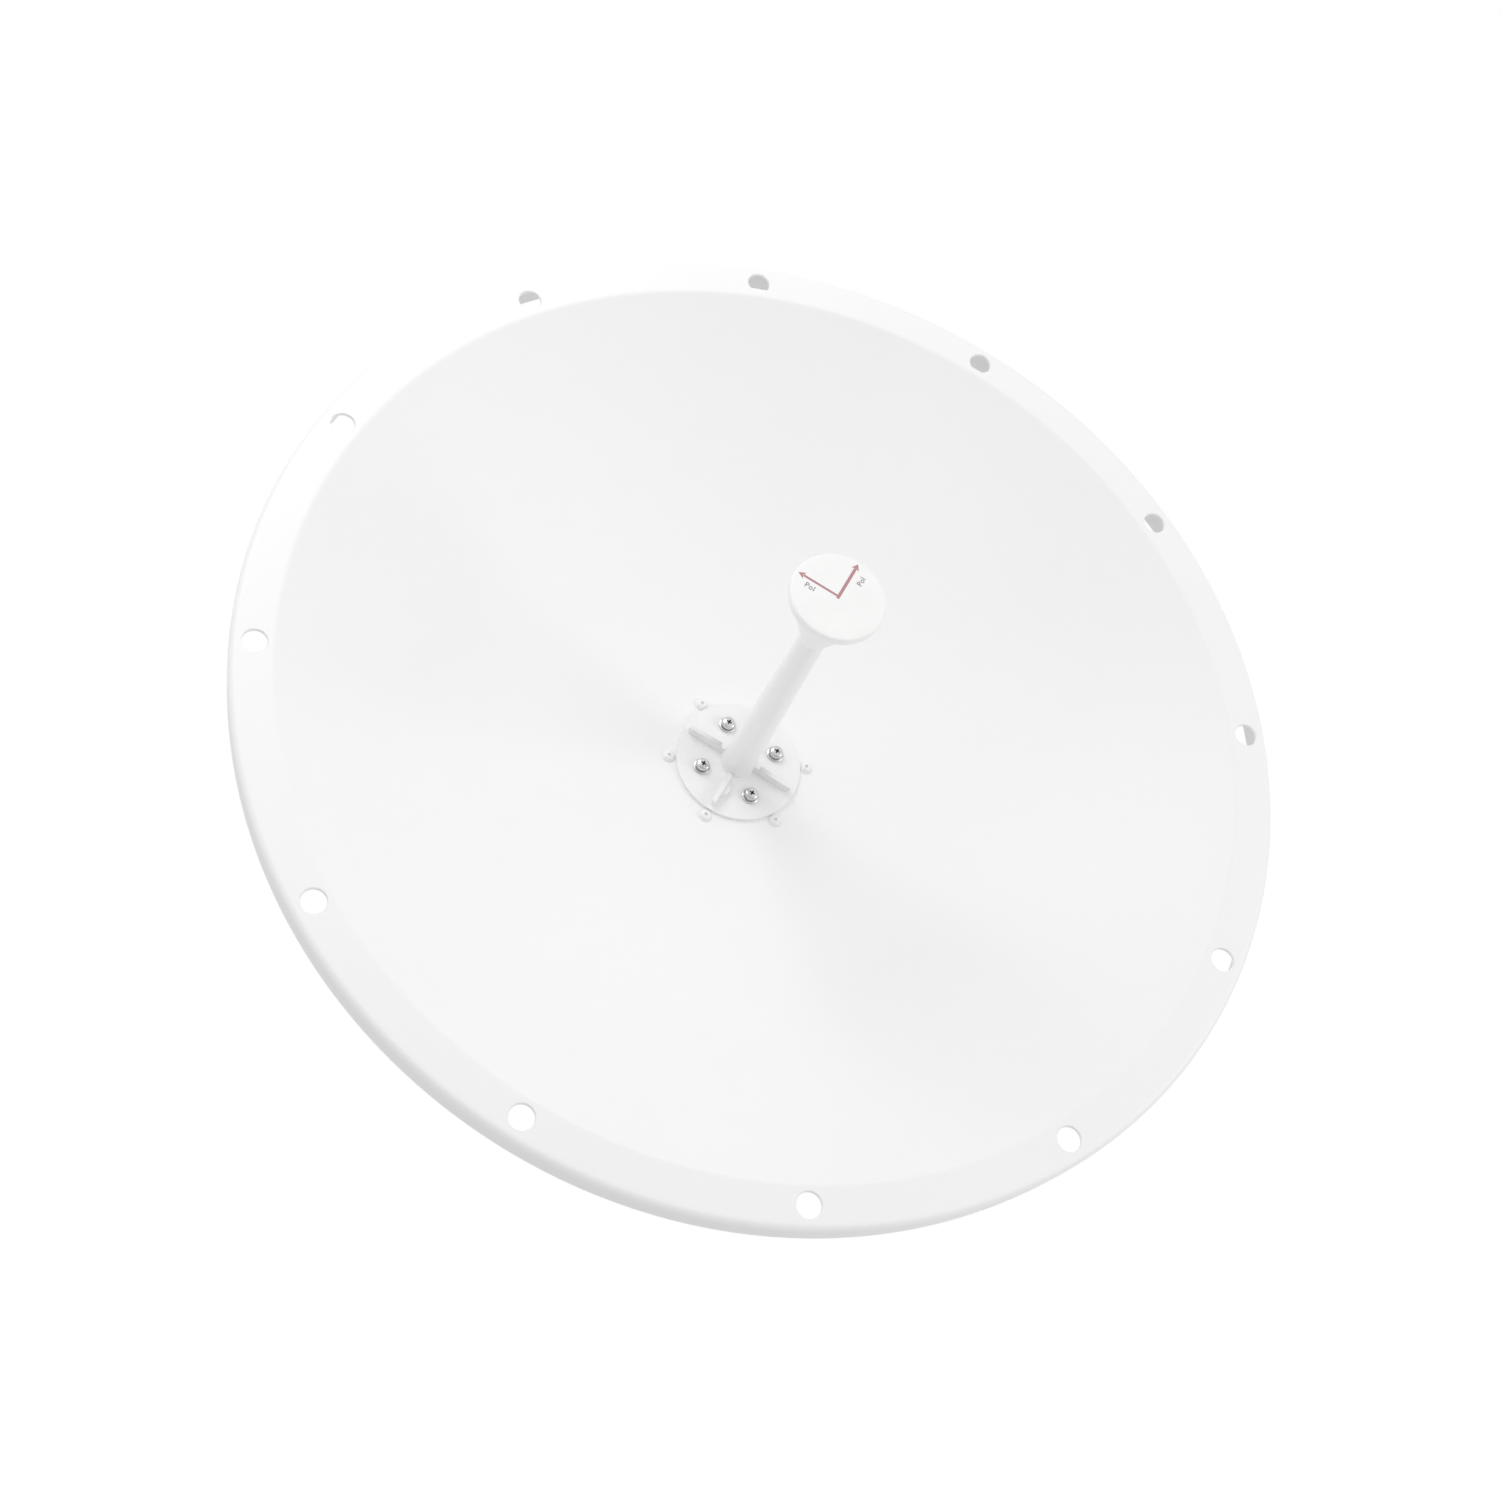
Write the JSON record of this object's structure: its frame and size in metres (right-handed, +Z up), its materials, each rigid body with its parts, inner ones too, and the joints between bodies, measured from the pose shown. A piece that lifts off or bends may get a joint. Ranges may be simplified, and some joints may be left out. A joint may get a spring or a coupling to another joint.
{
  "type": "satellite dish",
  "caption": "Round parabolic microwave dish with a slim centre feed and a pole mount that swings, tilts and clamps.",
  "frame": {"origin": "centre of the pole clamp, on the pole's axis and half way up the mast bracket", "axes": "+Z up along the pole; the dish looks along -Y; +X is to the right of someone who faces the dish's front"},
  "size_m": [0.648, 0.4984, 0.648],
  "materials": {
    "reflector_paint": "satin white powder coat",
    "feed_paint": "satin white paint",
    "cone_plastic": "white dielectric plastic",
    "disc_plastic": "smooth white plastic",
    "bright_steel": "bright plated steel",
    "stainless_steel": "stainless steel",
    "hub_paint": "light grey-white paint on a casting",
    "galvanised_steel": "hot-dip galvanised",
    "cast_clamp": "cast, lightly blasted",
    "jack_plating": "nickel plate",
    "probe_brass": "gold-plated brass",
    "insulator_plastic": "white insulator",
    "seal_rubber": "matt black rubber"
  },
  "bodies": {
    "mast": {"mast_bracket": "galvanised_steel", "clamp_bolts": "stainless_steel", "clamp_bolt_washers": "stainless_steel", "swing_bolt": "stainless_steel", "swing_washers": "stainless_steel", "swing_nut": "stainless_steel", "swing_spacer": "stainless_steel", "swing_lock_bolts": "stainless_steel", "swing_lock_washers": "stainless_steel", "swing_lock_nuts": "stainless_steel"},
    "swing": {"yoke": "galvanised_steel", "tilt_pivot_bolts": "stainless_steel", "tilt_pivot_washers": "stainless_steel", "tilt_pivot_nuts": "stainless_steel"},
    "dish": {"reflector": "reflector_paint", "hub_screws": "feed_paint", "feed_base": "feed_paint", "feed_screws": "bright_steel", "feed_washers": "bright_steel", "feed_spring_washers": "bright_steel", "feed_tube": "feed_paint", "feed_cone": "cone_plastic", "feed_disc": "disc_plastic", "spigot_seal": "seal_rubber", "hub_ring": "hub_paint", "feed_housing": "hub_paint", "housing_seal": "seal_rubber", "housing_cover": "hub_paint", "cover_screws": "stainless_steel", "housing_screws": "stainless_steel", "upright_jack": "jack_plating", "level_jack": "jack_plating", "jack_insulators": "insulator_plastic", "jack_nuts": "jack_plating", "upright_probe": "probe_brass", "level_probe": "probe_brass", "hub_bracket": "galvanised_steel", "hub_bolts": "stainless_steel", "hub_bolt_washers": "stainless_steel", "tilt_lock_bolts": "stainless_steel", "tilt_lock_washers": "stainless_steel", "tilt_lock_nuts": "stainless_steel"},
    "upper_clamp": {"upper_jaw": "cast_clamp", "upper_jaw_washers": "stainless_steel", "upper_jaw_nuts": "stainless_steel"},
    "lower_clamp": {"lower_jaw": "cast_clamp", "lower_jaw_washers": "stainless_steel", "lower_jaw_nuts": "stainless_steel"}
  },
  "joints": [
    {"name": "azimuth_swing", "type": "hinge", "parent": "mast", "child": "swing", "pos_m": [0, -0.06207, 0], "axis": [0, 0, 1], "range_deg": [-12, 12]},
    {"name": "elevation_tilt", "type": "hinge", "parent": "swing", "child": "dish", "pos_m": [0, -0.13942, 0], "axis": [-1, 0, 0], "range_deg": [-25, 25]},
    {"name": "upper_jaw_travel", "type": "slide", "parent": "mast", "child": "upper_clamp", "axis": [0, 1, 0], "range_m": [-0.012, 0.03]},
    {"name": "lower_jaw_travel", "type": "slide", "parent": "mast", "child": "lower_clamp", "axis": [0, 1, 0], "range_m": [-0.012, 0.03]}
  ]
}
